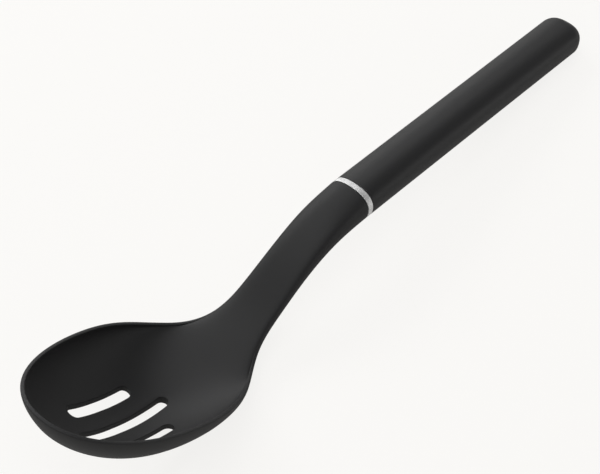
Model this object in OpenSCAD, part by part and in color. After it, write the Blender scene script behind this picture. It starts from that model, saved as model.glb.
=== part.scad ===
// Slotted serving spoon: a one-piece nylon head on a straight soft-touch handle, with a thin steel
// band between them. Modelled lying on a table, on the belly of its bowl and the end of its handle.
// Heights and lengths are first laid out along the handle's axis, with the band at the origin, the
// bowl towards -X and the butt towards +X. The finished spoon is then turned down onto the table.

/* [Handle] */
// Length from the band to the butt
handle_l = 167; // [130:1:210]
// Width at the band
band_w = 21.5; // [18:0.1:26]
// Height at the band
band_h = 15.4; // [13:0.1:20]
// Width halfway along the grip
grip_mid_w = 21.2; // [18:0.1:26]
// Height halfway along the grip
grip_mid_h = 16.4; // [13:0.1:20]
// Width that the grip's sides would have at the butt
butt_w = 21.8; // [18:0.1:26]
// Height that the grip's sides would have at the butt
butt_h = 15; // [13:0.1:20]
// Radius of the butt's corners, seen from above
butt_corner_r = 7.5; // [3:0.1:9]
// Radius of the butt's edge, seen from the side
butt_edge_r = 5; // [2:0.1:6.5]
// Squareness of the section at the band, where 2 is an ellipse
band_squareness = 2.4; // [2:0.1:4]
// Squareness of the section at the butt
butt_squareness = 2.6; // [2:0.1:4]

/* [Band] */
// Width of the steel band, along the handle
band_l = 2.9; // [2:0.1:6]
// Thickness of the band's metal
band_t = 0.8; // [0.5:0.05:1.2]
// Depth of the small round on the band's edges
band_edge = 0.2; // [0.1:0.05:0.4]
// Open seam on each side of the band
seam = 0.15; // [0.05:0.01:0.3]

/* [Head] */
// Length from the band to the tip of the bowl
head_l = 173; // [140:1:210]
// Drop from the handle's axis to the heel of the bowl's rim
heel_drop = 30; // [20:0.5:40]
// Rise of the rim from its heel to the tip
rim_rise = 43.5; // [25:0.5:50]
// Narrowest width of the neck
neck_w = 20.7; // [15:0.1:24]
// Height of the neck's section, halfway along it
neck_t = 11.8; // [9:0.1:15]
// Squareness of the neck's top
neck_squareness = 3.1; // [2:0.1:4]

/* [Bowl] */
// Width of the bowl
bowl_w = 66; // [50:1:80]
// Depth of the bowl's underside below its rim
bowl_depth = 28.7; // [18:0.1:36]
// Thickness of the bowl's rim
rim_t = 1.6; // [1.4:0.1:3]
// Thickness of the bowl's floor under its deepest part
floor_t = 3; // [2:0.1:4]
// Thickness of the bowl's floor behind the slots
heel_floor_t = 4.8; // [4:0.1:6]
// Fullness of the bowl's section, where 2 is an ellipse
bowl_fullness = 1.8; // [1.6:0.1:2.6]
// Fullness of the tip, seen from above
tip_fullness = 2.13; // [1.8:0.01:2.6]

/* [Slots] */
// Width of each slot
slot_w = 5.2; // [4:0.1:6]
// Spacing between the slots' middles
slot_pitch = 12.4; // [10:0.1:15]
// Length of the middle slot
mid_slot_l = 44.5; // [30:0.5:56]
// Length of each side slot
side_slot_l = 31; // [20:0.5:40]
// Distance from the middle slot's end to the tip of the bowl
mid_slot_from_tip = 19; // [12:0.5:28]
// Distance from a side slot's end to the tip of the bowl
side_slot_from_tip = 23.5; // [18:0.5:32]

/* [Tang and core] */
// Length of the tang that runs into the handle
tang_l = 78; // [50:1:100]
// Width of the tang
tang_w = 9; // [6:0.5:11]
// Height of the tang at its root
tang_h = 7; // [5:0.1:7.5]
// Height of the tang at its end
tang_end_h = 5; // [3:0.1:5]
// Number of barbs on the tang's top and on its underside
barb_count = 6; // [3:1:8]
// Height of each barb
barb_h = 0.6; // [0.3:0.1:0.8]
// Width of the core under the soft skin
core_w = 17; // [15:0.1:18.5]
// Height of the core under the soft skin
core_h = 11.6; // [10.5:0.1:12.4]
// Thickness of the soft skin past the core's far end
butt_skin = 4; // [3:0.5:8]
// Number of windows that key the soft skin into the core
window_count = 4; // [2:1:5]
// Width of each key window
window_w = 5; // [3:0.1:7]

/* [Fits] */
// Clearance of the boss in the band and of the tang in its socket
fit_clear = 0.1; // [0.05:0.01:0.2]
// Clearance between the core and the skin moulded over it
bond_clear = 0.03; // [0:0.01:0.1]

/* [Hidden] */

nylon_colour = "#2b2b2c";
steel_colour = "#c9cac8";
core_colour = "#3c3d3f";
skin_colour = "#343436";

// How finely the curved surfaces are cut up
neck_steps = 17;
bowl_steps = 25;
belly_steps = 10;
rim_steps = 4;
dish_steps = 9;
section_steps = 40;
grip_steps = 12;
butt_steps = 10;
arc_fn = 48;

// One overrun for every cut
cut_over = 5;

// How many times over the resting slope is worked out
slope_rounds = 8;

// Stations along the head are shares of head_l, counted from the band.
// The line of greatest width, which becomes the rim: how much of heel_drop and of rim_rise it has
rim_station_shares = [0, 0.12, 0.24, 0.35, 0.47, 0.6, 0.8, 1];
rim_drop_shares = [0, 0.1, 0.43, 0.82, 1, 1, 1, 1];
rim_rise_shares = [0, 0, 0, 0, 0, 0.236, 0.617, 1];

// Neck below and above that line, as shares of neck_t
neck_station_shares = [0.12, 0.24, 0.35];
neck_under_shares = [0.58, 0.57, 0.53];
neck_over_shares = [0.515, 0.43, 0.35];

// Heel of the bowl below and above that line, as shares of bowl_depth, at heel_share along the head
heel_share = 0.47;
heel_under_share = 0.34;
heel_over_share = 0.03;

// Where the floor is heel_floor_t thick, and the underside's share of bowl_depth there
heel_floor_station_share = 0.62;
heel_floor_depth_share = 0.8;

// Half widths: of the neck as shares of its half width, of the bowl's shoulder as shares of the bowl's
neck_w_station_shares = [0.11, 0.21, 0.31];
neck_w_shares = [1.02, 1, 1.05];
shoulder_station_shares = [0.4, 0.5];
shoulder_w_shares = [0.415, 0.688];

// Where the bowl is deepest and where it is widest, and a step past each that sets the slope there
deepest_share = 0.79;
widest_share = 0.7;
slope_step_share = 0.07;

// Where the rounded rim grows out of the neck, and the share over which it does
rim_start_share = 0.375;
rim_growth_share = 0.145;

// Share of the head over which the section changes from the handle's to the bowl's
blend_share = 0.52;

// Share of the head over which the neck's top takes its own squareness
crown_blend_share = 0.29;

// How far the last cut of the bowl's tip stands from its very end
tip_share = 0.999;

// Curves

// A smooth line through [place, height] points, bent as an evenly stiff batten is.
// batten_sweep and batten_bends work out how sharply it bends at each point.
function batten_sweep(p, i = 1, done = [[0, 0]]) =
    i > len(p) - 2 ? done :
    let (
        before = p[i][0] - p[i - 1][0],
        after = p[i + 1][0] - p[i][0],
        stiff = 2 * (before + after) - before * done[i - 1][0],
        turn = 6 * ((p[i + 1][1] - p[i][1]) / after - (p[i][1] - p[i - 1][1]) / before)
    )
    batten_sweep(p, i + 1, concat(done, [[after / stiff, (turn - before * done[i - 1][1]) / stiff]]));

function batten_back(s, i, out = [0]) =
    i == 0 ? concat([0], out) : batten_back(s, i - 1, concat([s[i][1] - s[i][0] * out[0]], out));

function batten_bends(p) = batten_back(batten_sweep(p), len(p) - 2);

function batten(p, bends, at) =
    let (
        i = max([for (k = [0 : len(p) - 2]) if (k == 0 || p[k][0] <= at) k]),
        span = p[i + 1][0] - p[i][0],
        a = (p[i + 1][0] - at) / span,
        b = 1 - a
    )
    a * p[i][1] + b * p[i + 1][1]
        + ((pow(a, 3) - a) * bends[i] + (pow(b, 3) - b) * bends[i + 1]) * span * span / 6;

// Quarter of a superellipse: 1 at 0, falling to 0 at 1
function quarter(u, n) = pow(max(0, 1 - pow(min(1, max(0, u)), n)), 1 / n);

// Smooth step from 0 to 1
function ease(u) = let (v = min(1, max(0, u))) v * v * (3 - 2 * v);

// Point of a superellipse of half width 1 and half height 1, at an angle
function squircle(angle, n) = [
    sign(cos(angle)) * pow(abs(cos(angle)), 2 / n),
    sign(sin(angle)) * pow(abs(sin(angle)), 2 / n)
];

// Head: its lines along the length

rim_line = [
    for (i = [0 : len(rim_station_shares) - 1])
        [rim_station_shares[i], rim_rise * rim_rise_shares[i] - heel_drop * rim_drop_shares[i]]
];
rim_bends = batten_bends(rim_line);
function rim_z(s) = batten(rim_line, rim_bends, s);

function outer_dip(s) = bowl_depth * quarter((s - deepest_share) / (1 - deepest_share), 2);
under_line = concat(
    [[0, band_h / 2]],
    [for (i = [0 : len(neck_station_shares) - 1]) [neck_station_shares[i], neck_t * neck_under_shares[i]]],
    [[heel_share, bowl_depth * heel_under_share]],
    [[heel_floor_station_share, bowl_depth * heel_floor_depth_share]],
    [for (s = [deepest_share, deepest_share + slope_step_share]) [s, outer_dip(s)]]
);
under_bends = batten_bends(under_line);
function under(s) = s > deepest_share ? outer_dip(s) : batten(under_line, under_bends, s);

inner_tip_share = 1 - rim_t / head_l;
function inner_dip(s) =
    (bowl_depth - floor_t) * quarter((s - deepest_share) / (inner_tip_share - deepest_share), 2);
over_line = concat(
    [[0, band_h / 2]],
    [for (i = [0 : len(neck_station_shares) - 1]) [neck_station_shares[i], neck_t * neck_over_shares[i]]],
    [[heel_share, bowl_depth * heel_over_share]],
    [[heel_floor_station_share, heel_floor_t - bowl_depth * heel_floor_depth_share]],
    [for (s = [deepest_share, deepest_share + slope_step_share]) [s, -inner_dip(s)]]
);
over_bends = batten_bends(over_line);
function over(s) = s > deepest_share ? -inner_dip(s) : batten(over_line, over_bends, s);

function tip_half_w(s) = bowl_w / 2 * quarter((s - widest_share) / (1 - widest_share), tip_fullness);
side_line = concat(
    [[0, band_w / 2]],
    [for (i = [0 : len(neck_w_shares) - 1]) [neck_w_station_shares[i], neck_w / 2 * neck_w_shares[i]]],
    [for (i = [0 : len(shoulder_w_shares) - 1]) [shoulder_station_shares[i], bowl_w / 2 * shoulder_w_shares[i]]],
    [for (s = [widest_share, widest_share + slope_step_share]) [s, tip_half_w(s)]]
);
side_bends = batten_bends(side_line);
function half_w(s) = s > widest_share ? tip_half_w(s) : batten(side_line, side_bends, s);

// Places of the cuts, from the tip to the band: close together at the tip and even along the neck
head_stations = concat(
    [for (i = [bowl_steps : -1 : 1]) heel_share + (tip_share - heel_share) * sin(90 * i / bowl_steps)],
    [for (i = [neck_steps : -1 : 0]) heel_share * i / neck_steps]
);

// Direction in which the bowl's edge faces, seen from above, as [towards the band, outwards]
function edge_facing(s) =
    let (
        d = 1 - tip_share,
        slope = (half_w(min(s + d, 1)) - half_w(s - d)) / ((min(s + d, 1) - s + d) * head_l),
        n = sqrt(1 + slope * slope)
    )
    [slope / n, 1 / n];

// Half of one cut through the head, from the middle of its underside, out round its edge and back
// to the middle of its top. In the neck the top is a rounded crown. In the bowl it is a rounded
// rim and then a dish. Both have the same number of points, and rim_part blends one into the other.
function head_half(s) =
    let (
        rim_part = ease((s - rim_start_share) / rim_growth_share),
        fullness = band_squareness + (bowl_fullness - band_squareness) * ease(s / blend_share),
        crown_n = band_squareness + (neck_squareness - band_squareness) * ease(s / crown_blend_share),
        w = half_w(s),
        z = rim_z(s),
        facing = edge_facing(s),
        outer = [-s * head_l, w, z],
        inner = outer - rim_t * [facing[0], facing[1], 0],
        inner_s = -inner[0] / head_l
    )
    concat(
        [
            for (i = [0 : belly_steps])
                let (c = squircle(90 - 90 * i / belly_steps, fullness))
                [outer[0], w * c[0], z - under(s) * c[1]]
        ],
        [
            for (i = [1 : rim_steps + dish_steps])
                let (
                    k = squircle(90 * i / (rim_steps + dish_steps), crown_n),
                    crown = [outer[0], w * k[0], z + over(s) * k[1]],
                    a = 180 * i / rim_steps,
                    c = squircle(90 * (i - rim_steps) / dish_steps, fullness),
                    rim = (outer + inner) / 2 + (outer - inner) / 2 * cos(a) + [0, 0, rim_t / 2 * sin(a)],
                    dish = [inner[0], inner[1] * c[0], z + over(inner_s) * c[1]]
                )
                crown * (1 - rim_part) + (i > rim_steps ? dish : rim) * rim_part
        ]
    );

// The whole cut, with its mirror image on the other side
function mirrored(half) = concat(half, [for (i = [len(half) - 2 : -1 : 1]) [half[i][0], -half[i][1], half[i][2]]]);

// A skin over equal rings of points, laid from -X to +X, each starting at the middle of the underside
// and turning towards +Y. Strips across from side to side close its two ends.
module skin(rings) {
    n = len(rings[0]);
    last = len(rings) - 1;
    points = [for (r = rings) each r];
    sides = [
        for (i = [0 : last - 1], j = [0 : n - 1])
            let (k = (j + 1) % n, a = i * n, b = (i + 1) * n)
            each [[a + j, b + j, b + k], [a + j, b + k, a + k]]
    ];
    strips = [for (j = [0 : n / 2 - 1]) each [[j, j + 1, (n - j) % n], [j + 1, n - j - 1, (n - j) % n]]];
    ends = [for (t = strips) if (t[0] != t[1] && t[1] != t[2] && t[0] != t[2]) t];
    polyhedron(points, concat(
        sides,
        ends,
        [for (t = ends) [t[2] + last * n, t[1] + last * n, t[0] + last * n]]
    ));
}

// Handle: its half width and half height along the length, a smooth line through three sizes
function three_point(x, a, b, c) =
    let (t = x / handle_l)
    a * (1 - t) * (1 - 2 * t) + b * 4 * t * (1 - t) + c * t * (2 * t - 1);
function rounded_off(x, r) = r * (1 - quarter((x - handle_l + r) / r, 2));
function grip_half_w(x) = three_point(x, band_w, grip_mid_w, butt_w) / 2 - rounded_off(x, butt_corner_r);
function grip_half_h(x) = three_point(x, band_h, grip_mid_h, butt_h) / 2 - rounded_off(x, butt_edge_r);
function grip_squareness(x) = band_squareness + (butt_squareness - band_squareness) * x / handle_l;

// Along the handle: the band and its seams, then the front of the grip
band_x = seam;
grip_x = band_x + band_l + seam;
butt_round_x = handle_l - max(butt_corner_r, butt_edge_r);
grip_places = concat(
    [for (i = [0 : grip_steps - 1]) grip_x + (butt_round_x - grip_x) * i / grip_steps],
    [for (i = [0 : butt_steps]) butt_round_x + (handle_l - butt_round_x) * sin(90 * i / butt_steps)]
);
function grip_ring(x) = [
    for (i = [0 : section_steps - 1])
        let (c = squircle(360 * i / section_steps - 90, grip_squareness(x)))
        [x, grip_half_w(x) * c[0], grip_half_h(x) * c[1]]
];

// Section of the band and of what fits inside it, drawn in by an inset
module band_section(inset) {
    polygon([
        for (i = [0 : section_steps - 1])
            let (c = squircle(360 * i / section_steps, band_squareness))
            [(band_h / 2 - inset) * c[1], (band_w / 2 - inset) * c[0]]
    ]);
}

// Turns a section so that it is extruded along the handle
module along_handle(x, length) {
    translate([x, 0, 0])
        rotate([0, 90, 0])
            linear_extrude(length)
                children();
}

// Spoon head

module slot(length, from_tip, y) {
    r = slot_w / 2;
    low = -heel_drop - neck_t - bowl_depth;
    translate([from_tip - head_l, y, low])
        linear_extrude(-2 * low) {
            translate([r, -r])
                square([length - slot_w, slot_w]);
            for (x = [r, length - r])
                translate([x, 0])
                    circle(r, $fn = arc_fn);
        }
}

// Tang seen from the side: tapered, with barbs that slope up towards its root
barb_pitch = (tang_l - grip_x) / (barb_count + 1);
function tang_half_h(x) = (tang_h + (tang_end_h - tang_h) * (x - grip_x) / (tang_l - grip_x)) / 2;
function tang_edge(extra) = concat(
    [[grip_x, tang_half_h(grip_x) + extra]],
    [
        for (i = [1 : barb_count])
            let (x = grip_x + barb_pitch * i)
            each [
                [x, tang_half_h(x) + extra],
                [x, tang_half_h(x) + extra + barb_h],
                [x + barb_pitch / 2, tang_half_h(x + barb_pitch / 2) + extra]
            ]
    ],
    [[tang_l, tang_end_h / 2 + extra]]
);
function both_edges(edge) =
    concat(edge, [for (i = [len(edge) - 1 : -1 : 0]) [edge[i][0], -edge[i][1]]]);

module tang() {
    root = [[band_x, tang_half_h(grip_x)]];
    rotate([90, 0, 0])
        linear_extrude(tang_w, center = true)
            polygon(both_edges(concat(root, tang_edge(0))));
}

module spoon_head() {
    color(nylon_colour)
        laid_down()
            difference() {
                union() {
                    skin([for (s = head_stations) mirrored(head_half(s))]);
                    along_handle(-band_l, grip_x - fit_clear + band_l)
                        band_section(band_t + fit_clear);
                    tang();
                }
                slot(mid_slot_l, mid_slot_from_tip, 0);
                for (side = [-1, 1])
                    slot(side_slot_l, side_slot_from_tip, side * slot_pitch);
            }
}

// Steel band: a thin ring, its outer edges eased by a narrower ring at each end

module steel_band() {
    color(steel_colour)
        laid_down()
            difference() {
                union() {
                    along_handle(band_x, band_l)
                        band_section(band_edge);
                    along_handle(band_x + band_edge, band_l - 2 * band_edge)
                        band_section(0);
                }
                along_handle(band_x - cut_over, band_l + 2 * cut_over)
                    band_section(band_t);
            }
}

// Handle core: a stiff bar with a socket for the tang, and windows that the soft skin fills

core_end_x = handle_l - butt_skin;
module core_section(extra) {
    polygon([
        for (i = [0 : section_steps - 1])
            let (c = squircle(360 * i / section_steps, grip_squareness(handle_l / 2)))
            [(core_h / 2 + extra) * c[1], (core_w / 2 + extra) * c[0]]
    ]);
}

// Windows in the stretch between the tang's end and the butt
core_solid = (core_w - window_w) / 2;
window_pitch = (core_end_x - tang_l - core_solid) / window_count;
window_l = window_pitch - core_solid;
module windows(extra) {
    r = window_w / 2 - extra;
    for (i = [0 : window_count - 1])
        translate([tang_l + core_solid + window_pitch * i + extra, 0, -core_h])
            linear_extrude(2 * core_h) {
                translate([r, -r])
                    square([window_l - 2 * extra - 2 * r, 2 * r]);
                for (x = [r, window_l - 2 * extra - r])
                    translate([x, 0])
                        circle(r, $fn = arc_fn);
            }
}

// The core's outer form, seen from above with its far corners rounded
module core_form(front, extra) {
    corner_r = core_w / 3;
    end = core_end_x + extra;
    half = core_w / 2 + extra;
    difference() {
        intersection() {
            along_handle(front, end - front)
                core_section(extra);
            translate([front, 0, -core_h])
                linear_extrude(2 * core_h) {
                    translate([0, -half])
                        square([end - front - corner_r, 2 * half]);
                    translate([0, corner_r - half])
                        square([end - front, 2 * (half - corner_r)]);
                    for (side = [-1, 1])
                        translate([end - front - corner_r, side * (half - corner_r)])
                            circle(corner_r, $fn = arc_fn);
                }
        }
        windows(extra);
    }
}

module socket() {
    mouth = [[grip_x - cut_over, tang_half_h(grip_x) + fit_clear]];
    end = [[tang_l + fit_clear, tang_end_h / 2 + fit_clear]];
    rotate([90, 0, 0])
        linear_extrude(tang_w + 2 * fit_clear, center = true)
            polygon(both_edges(concat(mouth, tang_edge(fit_clear), end)));
}

module handle_core() {
    color(core_colour)
        laid_down()
            difference() {
                core_form(grip_x, 0);
                socket();
            }
}

// Soft grip: the skin moulded over the core, closed at the butt and open at the band

module soft_grip() {
    color(skin_colour)
        laid_down()
            difference() {
                skin([for (x = grip_places) grip_ring(x)]);
                core_form(grip_x - cut_over, bond_clear);
            }
}

// Laid down on the table, on the bowl's belly and the butt

under_points = [for (s = head_stations) [-s * head_l, rim_z(s) - under(s)]];
handle_points = [for (x = grip_places) [x, -grip_half_h(x)]];
function lowest(points, slope) =
    let (d = [for (p = points) p[1] - slope * p[0]], low = min(d))
    [for (i = [0 : len(points) - 1]) if (d[i] == low) points[i]][0];
function table_slope(slope, rounds) =
    rounds <= 0 ? slope :
    let (a = lowest(under_points, slope), b = lowest(handle_points, slope))
    table_slope((b[1] - a[1]) / (b[0] - a[0]), rounds - 1);
tilt = atan(table_slope(0, slope_rounds));
table_z = min([for (p = under_points) p[1] * cos(tilt) - p[0] * sin(tilt)]);
tip_x = min([for (p = under_points) p[0] * cos(tilt) + p[1] * sin(tilt)]);
end_x = max([for (p = handle_points) p[0] * cos(tilt) - p[1] * sin(tilt)]);

module laid_down() {
    translate([-(tip_x + end_x) / 2, 0, -table_z])
        rotate([0, tilt, 0])
            children();
}

spoon_head();
steel_band();
handle_core();
soft_grip();
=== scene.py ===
# %% [markdown]
# # A slotted serving spoon
# The spoon is one black nylon moulding, a thin steel band and a soft-touch handle. The exact
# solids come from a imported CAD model, and this notebook gives them their finish: fine smooth
# meshes in the same place and of the same size, procedural materials, soft light and the camera.

# %% Load the fixed frame
import bmesh
import bpy
import numpy as np
from mathutils import Matrix, Vector
from mathutils.geometry import delaunay_2d_cdt


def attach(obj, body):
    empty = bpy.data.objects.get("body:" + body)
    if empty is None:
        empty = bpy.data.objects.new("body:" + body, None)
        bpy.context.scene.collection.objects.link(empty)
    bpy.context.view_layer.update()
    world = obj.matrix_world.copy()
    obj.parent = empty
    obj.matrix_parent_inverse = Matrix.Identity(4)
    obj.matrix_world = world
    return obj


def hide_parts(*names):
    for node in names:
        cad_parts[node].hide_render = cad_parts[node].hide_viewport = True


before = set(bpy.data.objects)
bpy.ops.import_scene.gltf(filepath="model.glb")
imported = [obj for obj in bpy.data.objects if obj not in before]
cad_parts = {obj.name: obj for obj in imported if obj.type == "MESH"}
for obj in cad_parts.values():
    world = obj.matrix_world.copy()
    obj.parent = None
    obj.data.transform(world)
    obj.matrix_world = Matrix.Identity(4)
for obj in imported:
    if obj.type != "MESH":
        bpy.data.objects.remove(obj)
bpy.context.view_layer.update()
print("CAD nodes:", ", ".join(sorted(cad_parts)))

# %% [markdown]
# ## Sizes
# Every length is in millimetres, and the spoon's are those of the real one. They could be read
# off the CAD solids, but written out they say what each one is. Lengths and heights are laid out
# along the handle: the band stands at the origin, the bowl lies towards -X and the butt towards
# +X. Shares are fractions of the length, depth or width that their names give.

# %% Sizes of the handle and the band
MM = 0.001

handle_l = 167
band_w, band_h = 21.5, 15.4
grip_mid_w, grip_mid_h = 21.2, 16.4
butt_w, butt_h = 21.8, 15
butt_corner_r, butt_edge_r = 7.5, 5
band_squareness, butt_squareness = 2.4, 2.6

band_l, band_t, band_edge, seam = 2.9, 0.8, 0.2, 0.15
grip_x = seam + band_l + seam
print("the band fills %.1f mm between two seams of %.2f mm" % (band_l, seam))

# %% Sizes of the head
head_l, heel_drop, rim_rise = 173, 30, 43.5
neck_w, neck_t, neck_squareness = 20.7, 11.8, 3.1
bowl_w, bowl_depth, rim_t = 66, 28.7, 1.6
floor_t, heel_floor_t = 3, 4.8
bowl_fullness, tip_fullness = 1.8, 2.13

slot_w, slot_pitch = 5.2, 12.4
mid_slot_l, side_slot_l = 44.5, 31
mid_slot_from_tip, side_slot_from_tip = 19, 23.5
print("head and handle together: %d mm along their line" % (head_l + handle_l))

# %% [markdown]
# ## Smooth lines
# A designer draws such a spoon with a few long sweeps: the rim's line, the underside, the top
# and the plan outline. A thin wooden batten bent through a few points gives that kind of curve,
# and a natural cubic spline is its formula. Bezier curves would do it too, but a formula can be
# asked for a height at any place, which the slots need later.

# %% A bent batten
def batten(points):
    """A smooth line through (place, height) points, as a function of the place."""
    x, y = np.array(points, float).T
    span = np.diff(x)
    last = len(x) - 1
    rows = np.eye(len(x))
    turn = np.zeros(len(x))
    for i in range(1, last):
        rows[i, i - 1:i + 2] = span[i - 1], 2 * (span[i - 1] + span[i]), span[i]
        turn[i] = 6 * ((y[i + 1] - y[i]) / span[i] - (y[i] - y[i - 1]) / span[i - 1])
    bend = np.linalg.solve(rows, turn)

    def line(at):
        i = np.clip(np.searchsorted(x, at, side="right") - 1, 0, last - 1)
        a = (x[i + 1] - at) / span[i]
        b = 1 - a
        curve = (a ** 3 - a) * bend[i] + (b ** 3 - b) * bend[i + 1]
        return a * y[i] + b * y[i + 1] + curve * span[i] ** 2 / 6

    return line


hump = batten([[0, 0], [1, 1], [2, 0]])
print("a batten over 0, 1 and 0 passes %.2f halfway up" % hump(0.5))

# %% [markdown]
# The cuts across the spoon are superellipses. Ellipses and rounded boxes could be blended
# instead, but here one number, the squareness, takes a section from an ellipse at 2 to a rounded
# oblong at 3, and below 2 to the softer dish of the bowl.

# %% Sections
def quarter(u, n):
    """Quarter of a superellipse: 1 at 0, falling to 0 at 1."""
    return (1 - np.clip(u, 0, 1) ** n) ** (1 / n)


def squircle(angle, n):
    """Across and up on a superellipse of half width 1 and half height 1, at angles in radians."""
    across, up = np.cos(angle), np.sin(angle)
    return np.sign(across) * abs(across) ** (2 / n), np.sign(up) * abs(up) ** (2 / n)


def ease(u):
    """A smooth step from 0 to 1."""
    v = np.clip(u, 0, 1)
    return v * v * (3 - 2 * v)


print("a quarter ellipse is %.2f high halfway out" % quarter(0.5, 2))

# %% [markdown]
# ## The head's lines
# The head is one moulding, so it is described by lines that run its whole length, from the
# band at 0 to the bowl's tip at 1. `rim_z` is the height of its widest line, which becomes the
# bowl's rim. `under` and `over` are the depths below and above it, and `half_w` is the plan. A
# subdivided cage could give the form too, but its edges would only be near the real sizes.

# %% The rim's line and the bowl's tip
heel_share = 0.47
rim_z = batten([
    [0, 0],
    [0.12, -0.1 * heel_drop],
    [0.24, -0.43 * heel_drop],
    [0.35, -0.82 * heel_drop],
    [heel_share, -heel_drop],
    [0.6, 0.236 * rim_rise - heel_drop],
    [0.8, 0.617 * rim_rise - heel_drop],
    [1, rim_rise - heel_drop],
])

deepest_share, widest_share, slope_step_share = 0.79, 0.7, 0.07
inner_tip_share = 1 - rim_t / head_l


def outer_dip(s):
    return bowl_depth * quarter((s - deepest_share) / (1 - deepest_share), 2)


def inner_dip(s):
    return (bowl_depth - floor_t) * quarter((s - deepest_share) / (inner_tip_share - deepest_share), 2)


def tip_half_w(s):
    return bowl_w / 2 * quarter((s - widest_share) / (1 - widest_share), tip_fullness)


print("the rim's line ends %.1f mm above the handle's own" % rim_z(1))


# %% The underside, the top and the plan
def joined(neck_points, tip_line, join_share):
    """A batten along the neck that runs on, with the same slope, into the tip's own formula."""
    ends = [[s, float(tip_line(s))] for s in (join_share, join_share + slope_step_share)]
    line = batten(neck_points + ends)
    return lambda s: np.where(s > join_share, tip_line(s), line(np.minimum(s, join_share)))


under = joined(
    [[0, band_h / 2], [0.12, 0.58 * neck_t], [0.24, 0.57 * neck_t], [0.35, 0.53 * neck_t],
     [heel_share, 0.34 * bowl_depth], [0.62, 0.8 * bowl_depth]],
    outer_dip, deepest_share)
over = joined(
    [[0, band_h / 2], [0.12, 0.515 * neck_t], [0.24, 0.43 * neck_t], [0.35, 0.35 * neck_t],
     [heel_share, 0.03 * bowl_depth], [0.62, heel_floor_t - 0.8 * bowl_depth]],
    lambda s: -inner_dip(s), deepest_share)
half_w = joined(
    [[0, band_w / 2], [0.11, 1.02 * neck_w / 2], [0.21, neck_w / 2], [0.31, 1.05 * neck_w / 2],
     [0.4, 0.412 * bowl_w / 2], [0.5, 0.715 * bowl_w / 2]],
    tip_half_w, widest_share)

floor_at = np.array([0.62, 0.7, 0.8, 0.9])
print("floor of the bowl, from its heel to its tip, in mm:", (under(floor_at) + over(floor_at)).round(1))

# %% [markdown]
# ## Along the handle
# The grip is nearly straight, so three sizes are enough: at the band, halfway and at the butt.
# The butt is rounded off twice, with a larger radius seen from above than from the side. One
# bevel on its edge would give both views the same radius.

# %% Lines along the handle
def three_point(x, at_band, midway, at_butt):
    t = x / handle_l
    return at_band * (1 - t) * (1 - 2 * t) + midway * 4 * t * (1 - t) + at_butt * t * (2 * t - 1)


def rounded_off(x, r):
    return r * (1 - quarter((x - handle_l + r) / r, 2))


def grip_half_w(x):
    return three_point(x, band_w, grip_mid_w, butt_w) / 2 - rounded_off(x, butt_corner_r)


def grip_half_h(x):
    return three_point(x, band_h, grip_mid_h, butt_h) / 2 - rounded_off(x, butt_edge_r)


def grip_squareness(x):
    return band_squareness + (butt_squareness - band_squareness) * x / handle_l


print("grip halfway: %.1f by %.1f mm" % (2 * grip_half_w(handle_l / 2), 2 * grip_half_h(handle_l / 2)))

# %% [markdown]
# ## Onto the table
# The spoon lies on the belly of its bowl and on the end of its handle. It could be turned by
# eye, but the tilt that brings both down to one level can be found: each round looks for the
# lowest points again, and after a few rounds they stay where they are.

# %% The resting place
search_points, tilt_rounds = 2000, 8
long_s = np.linspace(0, 1, search_points)
bowl_under = np.stack([-long_s * head_l, rim_z(long_s) - under(long_s)], 1)
long_x = np.linspace(grip_x, handle_l, search_points)
handle_under = np.stack([long_x, -grip_half_h(long_x)], 1)

slope = 0.0
for _ in range(tilt_rounds):
    a = bowl_under[np.argmin(bowl_under[:, 1] - slope * bowl_under[:, 0])]
    b = handle_under[np.argmin(handle_under[:, 1] - slope * handle_under[:, 0])]
    slope = (b[1] - a[1]) / (b[0] - a[0])
tilt = np.arctan(slope)
lowest = (bowl_under[:, 1] * np.cos(tilt) - bowl_under[:, 0] * np.sin(tilt)).min()
tip_end = (bowl_under[:, 0] * np.cos(tilt) + bowl_under[:, 1] * np.sin(tilt)).min()
butt_end = (handle_under[:, 0] * np.cos(tilt) - handle_under[:, 1] * np.sin(tilt)).max()
laid_down = (Matrix.Translation((-(tip_end + butt_end) / 2 * MM, 0, -lowest * MM))
             @ Matrix.Rotation(tilt, 4, "Y"))
print("tilt on the table: %.2f degrees" % np.degrees(tilt))

# %% [markdown]
# ## Meshes from rows of points
# Each piece is collected as points and faces in millimetres along the handle, and then laid
# down on the table in one go. Points that fall together, such as where two patches meet, are
# merged, so the finished skin is closed. Edges that turn sharply stay crisp, and all others
# are shaded smooth. Primitives and modifiers would be quicker to place, but none of them has a
# section that changes all along the piece.

# %% Gathering a skin
class Skin:
    """Points and faces of one piece."""

    def __init__(self):
        self.points = []
        self.faces = []

    def add_points(self, points):
        start = len(self.points)
        self.points.extend(np.asarray(points, float).reshape(-1, 3).tolist())
        return start

    def add_triangles(self, points, triangles):
        self.faces += (triangles + self.add_points(points)).tolist()

    def add_rows(self, grid, closed=False, keep=None):
        """Four-sided faces between rows of points; keep(row, column) says which ones stay."""
        rows, columns = grid.shape[:2]
        start = self.add_points(grid)
        for i in range(rows - 1):
            for j in range(columns if closed else columns - 1):
                if keep is None or keep(i, j):
                    k = (j + 1) % columns
                    low, high = start + i * columns, start + (i + 1) * columns
                    self.faces.append((low + j, low + k, high + k, high + j))


sample = Skin()
sample.add_rows(np.zeros((3, 4, 3)))
print("three rows of four points make %d faces" % len(sample.faces))


# %% Finishing a skin
crisp_angle = np.radians(40)
merge_gap, sliver_l = 0.0002, 0.0001


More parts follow.
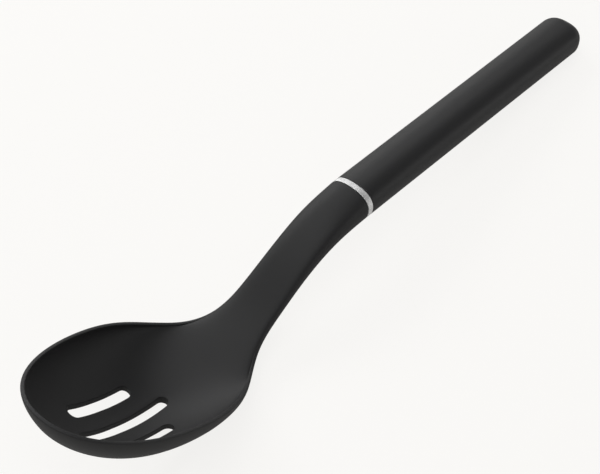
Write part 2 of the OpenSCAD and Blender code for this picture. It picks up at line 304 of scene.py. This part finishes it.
def finish_skin(skin, name, node):
    """Makes the skin a closed, smooth object on the table, in the place of a CAD node."""
    mesh = bpy.data.meshes.new(name)
    mesh.from_pydata([Vector(p) * MM for p in skin.points], [], skin.faces)
    work = bmesh.new()
    work.from_mesh(mesh)
    bmesh.ops.remove_doubles(work, verts=work.verts, dist=merge_gap * MM)
    bmesh.ops.dissolve_degenerate(work, edges=work.edges, dist=sliver_l * MM)
    bmesh.ops.recalc_face_normals(work, faces=work.faces)
    work.transform(laid_down)
    open_edges = sum(1 for e in work.edges if len(e.link_faces) != 2)
    volume = work.calc_volume() / MM ** 3
    work.to_mesh(mesh)
    work.free()
    mesh.shade_smooth()
    mesh.set_sharp_from_angle(angle=crisp_angle)
    piece = bpy.data.objects.new(name, mesh)
    bpy.context.collection.objects.link(piece)
    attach(piece, "root")
    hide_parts(node)
    print("%s: %d faces, %d open edges, %.0f mm3" % (name, len(mesh.polygons), open_edges, volume))
    return piece


# %% [markdown]
# ## Cuts across the head
# Near the band a cut through the head is the handle's own rounded oblong. In the bowl it is a
# belly, a rim and a dish. Both are drawn with the same number of points and blended one into
# the other, so the neck's crown runs down into the bowl without a seam, as the moulding does.
# The rim is laid square to the bowl's outline, so it keeps its thickness all the way round the
# tip. Its top is nearly flat between two small rounds, and the inner one draws the fine light
# line that runs round the real bowl. The cuts stand closest together at the tip, where the
# outline turns fastest.

# %% Places of the cuts
belly_steps, rim_steps, dish_steps = 30, 12, 27
neck_steps, bowl_steps = 64, 96
neck_edge_r = 0.3
rim_squareness = 4

first_s = neck_edge_r / head_l
neck_s = first_s + (heel_share - first_s) * np.arange(neck_steps) / neck_steps
bowl_s = heel_share + (1 - heel_share) * np.sin(np.pi / 2 * np.arange(bowl_steps + 1) / bowl_steps)
stations = np.concatenate([neck_s, bowl_s])

plan = np.stack([-stations * head_l, half_w(stations)], 1)
whole_plan = np.concatenate([plan, plan[-2::-1] * [1, -1]])
along = np.gradient(whole_plan, axis=0)[:len(plan)]
facing = np.stack([along[:, 1], -along[:, 0]], 1) / np.linalg.norm(along, axis=1)[:, None]
print("%d cuts, bowl %.1f mm wide" % (len(stations), 2 * plan[:, 1].max()))

# %% Where the rim grows and the section changes
rim_from_share, rim_grow_share = 0.375, 0.145
full_dish_share, full_crown_share = 0.52, 0.29

rim_part = ease((stations - rim_from_share) / rim_grow_share)


def fullness(s):
    return band_squareness + (bowl_fullness - band_squareness) * ease(s / full_dish_share)


crown_part = ease(stations / full_crown_share)
crown_squareness = band_squareness + (neck_squareness - band_squareness) * crown_part

edge = np.stack([plan[:, 0], plan[:, 1], rim_z(stations)], 1)
inner = edge - rim_t * np.stack([facing[:, 0], facing[:, 1], np.zeros(len(edge))], 1)
inner[:, 1] = np.maximum(inner[:, 1], 0)
widest = np.argmax(edge[:, 1])
print("rim %.1f mm thick at the widest place" % np.linalg.norm(edge[widest] - inner[widest]))


# %% Belly, crown, rim and dish
def section_rows(first_angle, last_angle, steps, squareness):
    """Across and up for every cut, one row of points for each."""
    return squircle(np.linspace(first_angle, last_angle, steps + 1)[None, :], squareness[:, None])


def rows_of_points(x, y, z):
    return np.stack(np.broadcast_arrays(x, y, z), 2)


across, up = section_rows(np.pi / 2, 0, belly_steps, fullness(stations))
belly = rows_of_points(edge[:, :1], edge[:, 1:2] * across, edge[:, 2:] - under(stations)[:, None] * up)

crown_steps = rim_steps + dish_steps
across, up = section_rows(0, np.pi / 2, crown_steps, crown_squareness)
crown = rows_of_points(edge[:, :1], edge[:, 1:2] * across, edge[:, 2:] + over(stations)[:, None] * up)

across, up = squircle(np.linspace(0, np.pi, rim_steps + 1), rim_squareness)
rim = (edge + inner)[:, None] / 2 + (edge - inner)[:, None] / 2 * across[None, :, None]
rim[:, :, 2] += rim_t / 2 * up

across, up = section_rows(0, np.pi / 2, dish_steps, fullness(stations))
dish = rows_of_points(inner[:, :1], inner[:, 1:2] * across,
                      edge[:, 2:] + over(-inner[:, 0] / head_l)[:, None] * up)

share = rim_part[:, None, None]
top = crown * (1 - share) + np.concatenate([rim, dish[:, 1:]], 1) * share
print("each half of the head has %d by %d points" % (len(stations), belly_steps + top.shape[1]))

# %% [markdown]
# ## Slots
# The slots are open right through, so a closed skin needs three things there: a hole in the
# dish, a hole in the belly and a wall between them. A boolean cut would do it, but it leaves
# long thin faces that shade badly on a curved dish. Here the fine grid round the slots is taken
# out and filled again with triangles that follow the slots' outlines. A mould can't make a
# knife edge, so small rounds lead from both surfaces into the walls.

# %% Slot outlines
slot_edge_r = 0.25
slot_arc_steps, slot_side_step = 18, 1
slot_round_steps, slot_wall_steps = 4, 5
slot_grid_gap, patch_margin = 0.45, 2.2

slots = [
    (0, mid_slot_from_tip - head_l, mid_slot_l),
    (slot_pitch, side_slot_from_tip - head_l, side_slot_l),
    (-slot_pitch, side_slot_from_tip - head_l, side_slot_l),
]


def slot_outline(slot, offset):
    """The slot seen from above, grown by an offset: two half circles and two straight sides."""
    y, x, length = slot
    r = slot_w / 2
    side_steps = int(round((length - slot_w) / slot_side_step))
    turn = np.linspace(-np.pi / 2, np.pi / 2, slot_arc_steps + 1)
    run = np.linspace(1, 0, side_steps + 1)[1:-1]
    far, near = x + length - r, x + r
    back_arc = np.stack([far + (r + offset) * np.cos(turn), y + (r + offset) * np.sin(turn)], 1)
    front_arc = np.stack([near - (r + offset) * np.cos(turn), y - (r + offset) * np.sin(turn)], 1)
    left = np.stack([near + (far - near) * run, np.full(len(run), y + r + offset)], 1)
    right = np.stack([far - (far - near) * run, np.full(len(run), y - r - offset)], 1)
    return np.concatenate([back_arc, left, front_arc, right])


print("points round the middle slot: %d" % len(slot_outline(slots[0], 0)))


# %% Heights of both surfaces at any place
def belly_height(xy):
    s = -xy[:, 0] / head_l
    return rim_z(s) - under(s) * quarter(abs(xy[:, 1]) / half_w(s), fullness(s))


inner_order = np.argsort(inner[:, 0])


def dish_height(xy):
    """The dish's cuts stand where the rim's inner edge is, so they are looked up there."""
    x = xy[:, 0]
    s = np.interp(x, inner[inner_order, 0], stations[inner_order])
    w = np.interp(x, inner[inner_order, 0], inner[inner_order, 1])
    return rim_z(s) + over(-x / head_l) * quarter(abs(xy[:, 1]) / w, fullness(s))


slot_middle = np.array([[mid_slot_from_tip - head_l + mid_slot_l / 2, 0]])
slot_floor_t = (dish_height(slot_middle) - belly_height(slot_middle))[0]
print("floor at the middle slot: %.1f mm" % slot_floor_t)

# %% [markdown]
# A Delaunay triangulation joins any set of points with triangles that are as even as they can
# be, and keeps given outlines as edges. Triangles inside a slot are left out.

# %% Triangles between outlines
same_point = 1e-6
no_points = np.zeros((0, 2))
square = np.array([[-1, -1], [1, -1], [1, 1], [-1, 1]])


def inside(outline, xy):
    """Which points lie inside a closed outline, by counting crossings."""
    a, b = outline, np.roll(outline, -1, axis=0)
    x, y = xy[:, :1], xy[:, 1:]
    crosses = (a[:, 1] > y) != (b[:, 1] > y)
    rise = np.where(b[:, 1] == a[:, 1], 1, b[:, 1] - a[:, 1])
    at = a[:, 0] + (y - a[:, 1]) * (b[:, 0] - a[:, 0]) / rise
    return (crosses & (x < at)).sum(1) % 2 == 1


def triangles_between(outline, holes, points):
    """Flat triangles inside an outline and outside its holes, and where each corner came from."""
    rings = [outline] + holes
    loops, start = [], 0
    for ring in rings:
        loops += [(start + i, start + (i + 1) % len(ring)) for i in range(len(ring))]
        start += len(ring)
    places = [Vector(p) for p in np.concatenate(rings + [points])]
    found = delaunay_2d_cdt(places, loops, [], 0, same_point)
    corners = np.array([list(p) for p in found[0]])
    source = np.array([min(own, default=start) for own in found[3]])
    triangles = np.array(found[2])
    middles = corners[triangles].mean(1)
    wanted = inside(outline, middles)
    for hole in holes:
        wanted &= ~inside(hole, middles)
    return corners, source, triangles[wanted]


frame_of_squares = triangles_between(2 * square, [square], no_points)[2]
print("triangles between a square and one in it: %d" % len(frame_of_squares))


# %% [markdown]
# The patch round the slots is a piece of the same grid. Its outer border keeps the grid's own
# points, so it joins without a seam, and inside it the grid's points are kept wherever they are
# a little way off a slot.

# %% Fill round the slots
def fill_round_slots(skin, patch, height):
    border = np.concatenate([patch[0], patch[1:-1, -1], patch[-1, ::-1], patch[-2:0:-1, 0]])
    points = patch[1:-1, 1:-1].reshape(-1, 3)[:, :2]
    for slot in slots:
        points = points[~inside(slot_outline(slot, slot_edge_r + slot_grid_gap), points)]
    outlines = [slot_outline(slot, slot_edge_r) for slot in slots]
    corners, source, triangles = triangles_between(border[:, :2], outlines, points)
    z = height(corners)
    own = source < len(border)
    corners[own], z[own] = border[source[own], :2], border[source[own], 2]
    skin.add_triangles(np.column_stack([corners, z]), triangles)
    print("patch round the slots: %d triangles" % len(triangles))


# %% Line the slots
def line_slots(skin):
    """The rounds into each slot from both surfaces, and the straight wall between them."""
    turns = np.linspace(0, np.pi / 2, slot_round_steps + 1)
    shares = np.linspace(0, 1, slot_wall_steps + 1)[1:-1]
    for slot in slots:
        high, low = [], []
        for turn in turns:
            ring = slot_outline(slot, slot_edge_r * (1 - np.sin(turn)))
            depth = slot_edge_r * (1 - np.cos(turn))
            high.append(np.column_stack([ring, dish_height(ring) - depth]))
            low.append(np.column_stack([ring, belly_height(ring) + depth]))
        wall = [high[-1] + (low[-1] - high[-1]) * share for share in shares]
        skin.add_rows(np.array(high + wall + low[::-1]), closed=True)
        print("slot lining: %d rings of %d points" % (2 * len(high) + len(wall), len(high[0])))


# %% [markdown]
# ## The head in one skin
# Belly, rim and dish and their mirror images make the two faces of the moulding. Each has a
# patch with the slots in it, and the slots' linings join the two. A mirror modifier would give
# the other half as well, but the middle slot lies across the seam.

# %% The part of the grid round the slots
belly_patch_side, dish_patch_side = 21, 18


def patch_rows(x_of_row):
    """First and last row of the grid that enclose the slots with a margin."""
    margin = slot_edge_r + patch_margin
    x_low = mid_slot_from_tip - head_l - margin
    rows = np.nonzero((x_of_row > x_low) & (x_of_row < x_low + mid_slot_l + 2 * margin))[0]
    return rows[0] - 1, rows[-1] + 1


def add_face_with_slots(skin, grid, x_of_row, middle, side, height):
    first, last = patch_rows(x_of_row)
    left, right = middle - side, middle + side
    skin.add_rows(grid, keep=lambda i, j: not (first <= i < last and left <= j < right))
    print("grid opened for the slots over %d rows" % (last - first))
    fill_round_slots(skin, grid[first:last + 1, left:right + 1], height)


# %% Both faces of the head
mirror = np.array([1, -1, 1])
whole_belly = np.concatenate([(belly * mirror)[:, :0:-1], belly], 1)
whole_top = np.concatenate([top, (top * mirror)[:, -2::-1]], 1)
top_middle = top.shape[1] - 1

head_skin = Skin()
add_face_with_slots(head_skin, whole_belly, edge[:, 0], belly_steps, belly_patch_side, belly_height)
add_face_with_slots(head_skin, whole_top, inner[:, 0], top_middle, dish_patch_side, dish_height)
line_slots(head_skin)
print("faces and slots: %d" % len(head_skin.faces))

# %% [markdown]
# ## The neck's end
# At the band the moulding steps down to a boss that the steel ring slides onto, and from the
# boss a barbed tang runs on into the handle. None of it shows on the finished spoon, so the
# skin could just be capped at the band. It is modelled because the head is one closed piece, and
# looks right when it is shown by itself.

# %% Round, shoulder and boss
fit_clear = 0.1
neck_round_steps = 4

belly_angles = np.linspace(-np.pi / 2, 0, belly_steps + 1)
crown_angles = np.linspace(0, np.pi / 2, crown_steps + 1)
half_angles = np.concatenate([belly_angles, crown_angles[1:]])
band_angles = np.concatenate([half_angles, np.pi - half_angles[-2:0:-1]])


def band_ring(x, inset):
    """The section at the band, drawn in by an inset."""
    across, up = squircle(band_angles, band_squareness)
    y, z = (band_w / 2 - inset) * across, (band_h / 2 - inset) * up
    return np.stack([np.full(len(across), x), y, z], 1)


half_cut = np.concatenate([belly[0], top[0, 1:]])
rings = [np.concatenate([half_cut, half_cut[-2:0:-1] * mirror])]
for turn in np.linspace(0, np.pi / 2, neck_round_steps + 1)[1:]:
    rings.append(band_ring(-neck_edge_r * (1 - np.sin(turn)), neck_edge_r * (1 - np.cos(turn))))
boss_end = grip_x - fit_clear
rings += [band_ring(0, band_t + fit_clear), band_ring(boss_end, band_t + fit_clear)]
head_skin.add_rows(np.array(rings), closed=True)
print("boss: %.1f mm long" % boss_end)

# %% Barbed tang
tang_l, tang_w, tang_h, tang_end_h = 78, 9, 7, 5
barb_count, barb_h = 6, 0.6
barb_pitch = (tang_l - grip_x) / (barb_count + 1)


def tang_half_h(x):
    return (tang_h + (tang_end_h - tang_h) * (x - grip_x) / (tang_l - grip_x)) / 2


profile = [(boss_end, tang_h / 2), (grip_x, tang_h / 2)]
for i in range(1, barb_count + 1):
    x = grip_x + barb_pitch * i
    profile += [(x, tang_half_h(x)), (x, tang_half_h(x) + barb_h),
                (x + barb_pitch / 2, tang_half_h(x + barb_pitch / 2))]
profile.append((tang_l, tang_end_h / 2))

tang_rings = [np.column_stack([np.full(4, x), square * [tang_w / 2, h]]) for x, h in profile]
head_skin.add_rows(np.array(tang_rings), closed=True)
start = head_skin.add_points(tang_rings[-1])
head_skin.faces.append((start, start + 1, start + 2, start + 3))
print("tang: %d barbs, %.1f mm apart" % (barb_count, barb_pitch))

# %% Close the boss round the tang's root
boss_outline, root_outline = rings[-1][:, 1:], tang_rings[0][:, 1:]
corners, source, triangles = triangles_between(boss_outline, [root_outline], no_points)
head_skin.add_triangles(np.column_stack([np.full(len(corners), boss_end), corners]), triangles)

head = finish_skin(head_skin, "nylon_head", "spoon_head")

# %% [markdown]
# ## The steel band
# The real band is a slice of thin-walled stainless tube, pressed to the handle's section. Its
# outer edges are broken by tumbling, which the eye reads as two fine bright lines. So the ring
# is swept from a profile with small true rounds instead of a bevel put on afterwards.

# %% Build the band
band_edge_steps = 5
start_x, end_x = seam, seam + band_l
turns = np.linspace(0, np.pi / 2, band_edge_steps + 1)
edge_round = [(band_edge * (1 - np.cos(t)), band_edge * (1 - np.sin(t))) for t in turns]

profile = [(start_x, band_t)]
profile += [(start_x + step, inset) for step, inset in edge_round]
profile += [(end_x - step, inset) for step, inset in edge_round[::-1]]
profile += [(end_x, band_t), (start_x, band_t)]
band_skin = Skin()
band_skin.add_rows(np.array([band_ring(x, inset) for x, inset in profile]), closed=True)
band = finish_skin(band_skin, "steel_ring", "steel_band")

# %% [markdown]
# ## The soft grip
# The grip is a skin moulded over a stiff core, a few millimetres thick and closed at the butt.
# Its front edge has the small round that a mould leaves, so a dark line shows against the band.
# A solidify modifier could thicken an outer skin, but the core's hollow isn't an even step
# inside it, so both are swept as rings that run on from one to the other.

# %% Rings of the grip
grip_steps, butt_steps, section_steps = 70, 24, 144
grip_front_r, front_round_steps = 0.3, 4
section_angles = np.linspace(0, 2 * np.pi, section_steps, endpoint=False)


def grip_ring(x, inset=0.0, size=1.0):
    across, up = squircle(section_angles, grip_squareness(x))
    y = (grip_half_w(x) - inset) * size * across
    z = (grip_half_h(x) - inset) * size * up
    return np.stack([np.full(section_steps, x), y, z], 1)


print("grip's front edge: %.1f mm wide" % (2 * grip_ring(grip_x, grip_front_r)[:, 1].max()))

# %% Rings of the hollow
# The core fills it, so it has the core's size and its rounded far corners.
core_w, core_h, butt_skin, bond_clear = 17, 11.6, 4, 0.03
hollow_steps, hollow_round_steps = 11, 8
hollow_end = handle_l - butt_skin + bond_clear
hollow_corner_r = core_w / 3


def hollow_ring(x, size=1.0):
    across, up = squircle(section_angles, grip_squareness(handle_l / 2))
    half = core_w / 2 + bond_clear
    bite = np.clip((x - hollow_end + hollow_corner_r) / hollow_corner_r, 0, 1)
    limit = half - hollow_corner_r * (1 - np.sqrt(1 - bite ** 2))
    y = np.clip(half * across, -limit, limit) * size
    z = (core_h / 2 + bond_clear) * up * size
    return np.stack([np.full(section_steps, x), y, z], 1)


print("hollow: %.1f mm long" % (hollow_end - grip_x))

# %% The hollow's rings, from its closed end to the front
hollow_cap_sizes = (0.0, 0.5)
turns = np.linspace(np.pi / 2, 0, hollow_round_steps + 1)
hollow_round = [hollow_end - hollow_corner_r * (1 - np.sin(t)) for t in turns]
hollow_run = np.linspace(hollow_round[-1], grip_x, hollow_steps + 1)[1:]

rings = [hollow_ring(hollow_end, size) for size in hollow_cap_sizes]
rings += [hollow_ring(x) for x in hollow_round]
rings += [hollow_ring(x) for x in hollow_run]
print("rings in the hollow: %d" % len(rings))

# %% The grip's rings, from the front edge to the butt
butt_cap_sizes = (0.66, 0.33, 0.0)
for t in np.linspace(np.pi / 2, 0, front_round_steps + 1):
    ring = grip_ring(grip_x, grip_front_r * (1 - np.cos(t)))
    ring[:, 0] = grip_x + grip_front_r * (1 - np.sin(t))
    rings.append(ring)
butt_x = handle_l - max(butt_corner_r, butt_edge_r)
turns = np.linspace(0, np.pi / 2, butt_steps)[1:]
rings += [grip_ring(x) for x in np.linspace(grip_x + grip_front_r, butt_x, grip_steps)[1:]]
rings += [grip_ring(butt_x + (handle_l - butt_x) * np.sin(t)) for t in turns]
rings += [grip_ring(handle_l, size=size) for size in butt_cap_sizes]

grip_skin = Skin()
grip_skin.add_rows(np.array(rings), closed=True)
grip = finish_skin(grip_skin, "soft_handle", "soft_grip")

# %% [markdown]
# ## Colours and nodes
# Screens and colour pickers give sRGB hex codes, while shaders reckon in linear light, so one
# function converts. Nodes could be added and linked one by one, in three lines each. A second
# function does all that in one call.

# %% Colours
def linear(code):
    """An sRGB hex colour as the linear one that shaders take."""
    channels = [int(code[i:i + 2], 16) / 255 for i in (1, 3, 5)]
    return [c / 12.92 if c <= 0.04045 else ((c + 0.055) / 1.055) ** 2.4 for c in channels] + [1]


print("middle grey on a screen is %.3f in linear light" % linear("#808080")[0])


# %% Nodes and materials
def add_node(tree, kind, settings=None, **inputs):
    """Adds a node; inputs are values, or sockets of other nodes to link from."""
    node = tree.nodes.new(kind)
    for name, value in (settings or {}).items():
        setattr(node, name, value)
    for name, value in inputs.items():
        socket = node.inputs[name.replace("_", " ")]
        if isinstance(value, bpy.types.NodeSocket):
            tree.links.new(value, socket)
        else:
            socket.default_value = value
    return node


def new_material(name, piece):
    """The empty node tree of a new material, which becomes the piece's only one."""
    material = bpy.data.materials.new(name)
    material.use_nodes = True
    material.node_tree.nodes.clear()
    piece.data.materials.clear()
    piece.data.materials.append(material)
    print("%s, on %s" % (name, piece.name))
    return material.node_tree


# %% [markdown]
# ## Moulded plastics
# A moulding takes over the texture of its steel tool, so its colour is even and its grain is
# only a matter of height. A picture of a grain could be wrapped round the piece, but it would
# need seams and would stretch on the bowl. Noise that fills the whole solid has neither. Its
# grains are given by their real width, and a bump node turns them into a height.

# %% The finish of a moulding
plastic_ior = 1.5


def moulded_finish(tree, colour, roughness, specular, grain_w, grain_detail, grain_depth):
    """One plain colour with a fine grain; the grain's width and depth are in millimetres."""
    place = add_node(tree, "ShaderNodeTexCoord")
    grain = add_node(tree, "ShaderNodeTexNoise", None, Vector=place.outputs["Object"],
                     Scale=1 / (grain_w * MM), Detail=grain_detail, Roughness=0.6)
    bump = add_node(tree, "ShaderNodeBump", None, Height=grain.outputs["Fac"],
                    Distance=grain_depth * MM, Strength=1.0)
    shader = add_node(tree, "ShaderNodeBsdfPrincipled", None, Base_Color=linear(colour),
                      Roughness=roughness, Specular_IOR_Level=specular, IOR=plastic_ior,
                      Normal=bump.outputs["Normal"])
    add_node(tree, "ShaderNodeOutputMaterial", None, Surface=shader.outputs[0])


# %% [markdown]
# ## Moulded nylon
# The head is glass-filled nylon 66, moulded in a spark-eroded tool. Its fine matte grain gives
# a broad, dull sheen and no mirror image. Real spark erosion leaves grains of about 0.1 mm, too
# fine for this picture, so they are drawn 0.5 mm wide. The nearly black colour is the pigment's.

# %% Material of the head
moulded_finish(new_material("spark_eroded_nylon", head), "#1a1a1b", roughness=0.57, specular=0.44,
               grain_w=0.5, grain_detail=3.0, grain_depth=0.02)

# %% [markdown]
# ## Soft-touch rubber
# The grip is a thermoplastic rubber, moulded over the core in a tool with a finer and shallower
# grain. So it is matte as well, with a sheen a little tighter than the nylon's. A sheen layer
# could give it a velvet edge, but the real one is too smooth for that. Its real grains are about
# 0.05 mm wide, too fine to show, and are drawn 0.45 mm wide.

# %% Material of the grip
moulded_finish(new_material("soft_touch_rubber", grip), "#1b1b1c", roughness=0.5, specular=0.44,
               grain_w=0.45, grain_detail=2.0, grain_depth=0.015)

# %% [markdown]
# ## Core plastic
# The core is a plain glass-filled moulding that nobody sees until the grip is taken apart. It
# could share the head's material, but a slightly lighter one of its own tells the two apart. Its
# grain, about 0.1 mm on a real moulding, is drawn 0.6 mm wide.

# %% Material of the core
moulded_finish(new_material("core_plastic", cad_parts["handle_core"]), "#2a2a2b", roughness=0.6,
               specular=0.5, grain_w=0.6, grain_detail=2.0, grain_depth=0.02)

# %% [markdown]
# ## Brushed steel
# The band is stainless steel, brushed across its narrow width, so the scratches run along the
# spoon. Such scratches smear a reflection out across themselves, here round the handle, so the
# band looks evenly bright and not like a mirror. That is the shader's anisotropy, laid along a
# tangent round the handle. Scratches are 0.05 mm apart on the real one and are drawn 0.5 mm
# apart, wide enough to show. They vary the roughness and the height a little, and hardly the
# colour.

# %% Scratches of the band
scratch_l, scratch_w, scratch_depth = 30, 0.5, 0.02

steel = new_material("brushed_stainless_steel", band)
place = add_node(steel, "ShaderNodeTexCoord")
stretched = add_node(steel, "ShaderNodeMapping", {"vector_type": "TEXTURE"}, Rotation=(0, tilt, 0),
                     Scale=(scratch_l * MM, scratch_w * MM, scratch_w * MM),
                     Vector=place.outputs["Object"])
scratches = add_node(steel, "ShaderNodeTexNoise", None, Vector=stretched.outputs["Vector"],
                     Scale=1.0, Detail=3.0, Roughness=0.7).outputs["Fac"]
print("scratches turned by %.1f degrees, along the handle" % np.degrees(tilt))

# %% Material of the band
least_roughness, most_roughness = 0.38, 0.58
smear_round_handle = 0.8
steel_tints = [(0.3, "#e4e4e4"), (0.7, "#ffffff")]

gloss = add_node(steel, "ShaderNodeMapRange", None, Value=scratches, To_Min=least_roughness,
                 To_Max=most_roughness)
round_handle = add_node(steel, "ShaderNodeTangent", {"direction_type": "RADIAL", "axis": "X"})
tint = add_node(steel, "ShaderNodeValToRGB", None, Fac=scratches)
for stop, (position, colour) in zip(tint.color_ramp.elements, steel_tints):
    stop.position = position
    stop.color = linear(colour)
bump = add_node(steel, "ShaderNodeBump", None, Height=scratches, Distance=scratch_depth * MM,
                Strength=1.0)
shader = add_node(steel, "ShaderNodeBsdfPrincipled", None, Base_Color=tint.outputs["Color"],
                  Metallic=1.0, Roughness=gloss.outputs["Result"], Normal=bump.outputs["Normal"],
                  Anisotropic=smear_round_handle, Tangent=round_handle.outputs["Tangent"])
add_node(steel, "ShaderNodeOutputMaterial", None, Surface=shader.outputs[0])
print("nodes in the steel: %d" % len(steel.nodes))

# %% [markdown]
# ## Floor
# Packshots stand on a sheet of pale matt paper that is lit until it is nearly white. A dark
# object needs little of that light thrown back at it from below, or its outlines go grey. So the
# paper itself is a light grey here, and to the camera a part of it glows in the white of the
# picture's background. The shadow stays on the rest, as light as on a sheet lit from under it.
# Reflections see some of the glow as well, or metal would show a floor that isn't there.

# %% Build the floor
floor_half = 3000
floor_corners = [(x * floor_half * MM, y * floor_half * MM, 0) for x, y in square]
floor_mesh = bpy.data.meshes.new("paper_sheet")
floor_mesh.from_pydata(floor_corners, [], [(0, 1, 2, 3)])
floor = bpy.data.objects.new("paper_sheet", floor_mesh)
bpy.context.collection.objects.link(floor)
print("paper sheet: %d mm square" % (2 * floor_half))

# %% The paper and its glow
paper_white, paper_grey = "#f9f8f6", "#b4b3b1"
glow_strength, seen_glow_share, mirrored_glow_share = 1.285, 0.7, 0.17

matt_paper = new_material("matt_paper", floor)
paper = add_node(matt_paper, "ShaderNodeBsdfDiffuse", None, Color=linear(paper_grey))
glow = add_node(matt_paper, "ShaderNodeEmission", None, Color=linear(paper_white),
                Strength=glow_strength)

# %% What sees the glow
rays = add_node(matt_paper, "ShaderNodeLightPath").outputs
seen = add_node(matt_paper, "ShaderNodeMath", {"operation": "MULTIPLY"})
seen.inputs[1].default_value = seen_glow_share
mirrored = add_node(matt_paper, "ShaderNodeMath", {"operation": "MAXIMUM"})
glow_share = add_node(matt_paper, "ShaderNodeMath", {"operation": "MULTIPLY_ADD"})
glow_share.inputs[1].default_value = mirrored_glow_share
sheet = add_node(matt_paper, "ShaderNodeMixShader", None, Fac=glow_share.outputs[0])
glow_links = [
    (rays["Is Camera Ray"], seen.inputs[0]),
    (rays["Is Glossy Ray"], mirrored.inputs[0]),
    (rays["Is Transmission Ray"], mirrored.inputs[1]),
    (mirrored.outputs[0], glow_share.inputs[0]),
    (seen.outputs[0], glow_share.inputs[2]),
    (paper.outputs[0], sheet.inputs[1]),
    (glow.outputs[0], sheet.inputs[2]),
]
for source, socket in glow_links:
    matt_paper.links.new(source, socket)
add_node(matt_paper, "ShaderNodeOutputMaterial", None, Surface=sheet.outputs[0])
print("links in the paper: %d" % len(matt_paper.links))

# %% [markdown]
# ## Light
# Black plastic shows little colour of its own. What the picture shows is the studio, mirrored
# softly, so the lamps were worked out backwards from the photo's shading. The walls are white up
# to table height and go dark above it, which draws the thin light lines along the rim and the
# edges. The far side has the strongest softbox, with a weaker one behind the handle and a low
# strip under both, and these light the top of the handle and leave its near side dark. One
# overhead and one over the bowl fill the hollow, and two faint ones lift the near side.

# %% The room
wall_tones = [(10, paper_white), (20, "#7c7c7c"), (34, "#5a5a5a")]

world = bpy.data.worlds.new("studio")
world.use_nodes = True
bpy.context.scene.world = world
room = world.node_tree
room.nodes.clear()
place = add_node(room, "ShaderNodeTexCoord")
upward = add_node(room, "ShaderNodeSeparateXYZ", None, Vector=place.outputs["Generated"]).outputs["Z"]
walls = add_node(room, "ShaderNodeValToRGB", None, Fac=upward)
stops = walls.color_ramp.elements
heights = [np.sin(np.radians(elevation)) for elevation, tone in wall_tones]
stops.new(heights[1])
for stop, height, (elevation, tone) in zip(stops, heights, wall_tones):
    stop.position = height
    stop.color = linear(tone)
sky = add_node(room, "ShaderNodeBackground", None, Color=walls.outputs["Color"], Strength=1.0)
add_node(room, "ShaderNodeOutputWorld", None, Surface=sky.outputs[0])
print("walls change tone at these heights, as shares of straight up:", np.round(heights, 2))

# %% A lamp
lamp_reach = 1300


def softbox(name, azimuth, elevation, radiance, wide, high):
    """A lit panel that faces the spoon, azimuth degrees round from the handle's own direction.

    Its radiance is how bright it looks, where 1 is a white sheet, whatever its size.
    """
    lamp = bpy.data.lights.new(name, "AREA")
    lamp.shape = "RECTANGLE"
    lamp.size = wide * MM
    lamp.size_y = high * MM
    lamp.energy = radiance * np.pi * lamp.size * lamp.size_y
    box = bpy.data.objects.new(name, lamp)
    bpy.context.collection.objects.link(box)
    turn, rise = np.radians([azimuth, elevation])
    outward = Vector((np.cos(rise) * np.cos(turn), np.cos(rise) * np.sin(turn), np.sin(rise)))
    box.location = outward * lamp_reach * MM
    box.rotation_euler = outward.to_track_quat("Z", "Y").to_euler()
    print("%s: %.2f W" % (name, lamp.energy))


# %% The lamps
softbox("far_side", azimuth=88, elevation=36, radiance=3.8, wide=950, high=400)
softbox("behind_handle", azimuth=48, elevation=38, radiance=2.3, wide=950, high=360)
softbox("far_low", azimuth=60, elevation=18, radiance=1.0, wide=1500, high=360)
softbox("overhead", azimuth=180, elevation=85, radiance=1.8, wide=1000, high=900)
softbox("over_bowl", azimuth=180, elevation=58, radiance=1.15, wide=750, high=450)
softbox("bowl_side", azimuth=205, elevation=38, radiance=0.45, wide=1100, high=480)
softbox("near_low", azimuth=310, elevation=9, radiance=0.6, wide=1000, high=320)

# %% [markdown]
# ## Camera
# A camera can be moved by hand until a picture looks right, but that never quite settles. This
# one's direction, distance and focal length were worked out from the photograph instead, by
# fitting the rim, the slots, the band and the handle's outline. They are given against the
# handle: the way round it, the height above it and the roll, and the picture point that the
# middle of the band falls on.

# %% Where the camera stands
camera_azimuth, camera_elevation, camera_roll = np.radians([-52.744, 46.881, 5.932])
camera_distance = 589.94
focal_px = 1379
image_w, image_h = 600, 474
band_px = (349.25, 199.88)

back = np.array([np.sin(camera_azimuth) * np.cos(camera_elevation),
                 -np.cos(camera_azimuth) * np.cos(camera_elevation), np.sin(camera_elevation)])
level_right = np.array([np.cos(camera_azimuth), np.sin(camera_azimuth), 0])
level_up = np.cross(back, level_right)
right = level_right * np.cos(camera_roll) + level_up * np.sin(camera_roll)
up = level_up * np.cos(camera_roll) - level_right * np.sin(camera_roll)
off_right = (band_px[0] - image_w / 2) / focal_px * camera_distance
off_up = (image_h / 2 - band_px[1]) / focal_px * camera_distance
print("the band is %.1f mm right of the view's middle and %.1f mm above it" % (off_right, off_up))

# %% Place the camera
sensor_w = 36

pose = Matrix.Identity(4)
for i, axis in enumerate((right, up, back)):
    pose.col[i].xyz = axis
pose.translation = Vector(back * camera_distance - right * off_right - up * off_up) * MM

camera = bpy.data.cameras.new("camera")
camera.sensor_width = sensor_w
camera.lens = sensor_w * focal_px / image_w
camera_object = bpy.data.objects.new("camera", camera)
bpy.context.collection.objects.link(camera_object)
camera_object.matrix_world = laid_down @ pose
bpy.context.scene.camera = camera_object
bpy.context.scene.view_settings.view_transform = "Standard"
print("lens: %.1f mm" % camera.lens)
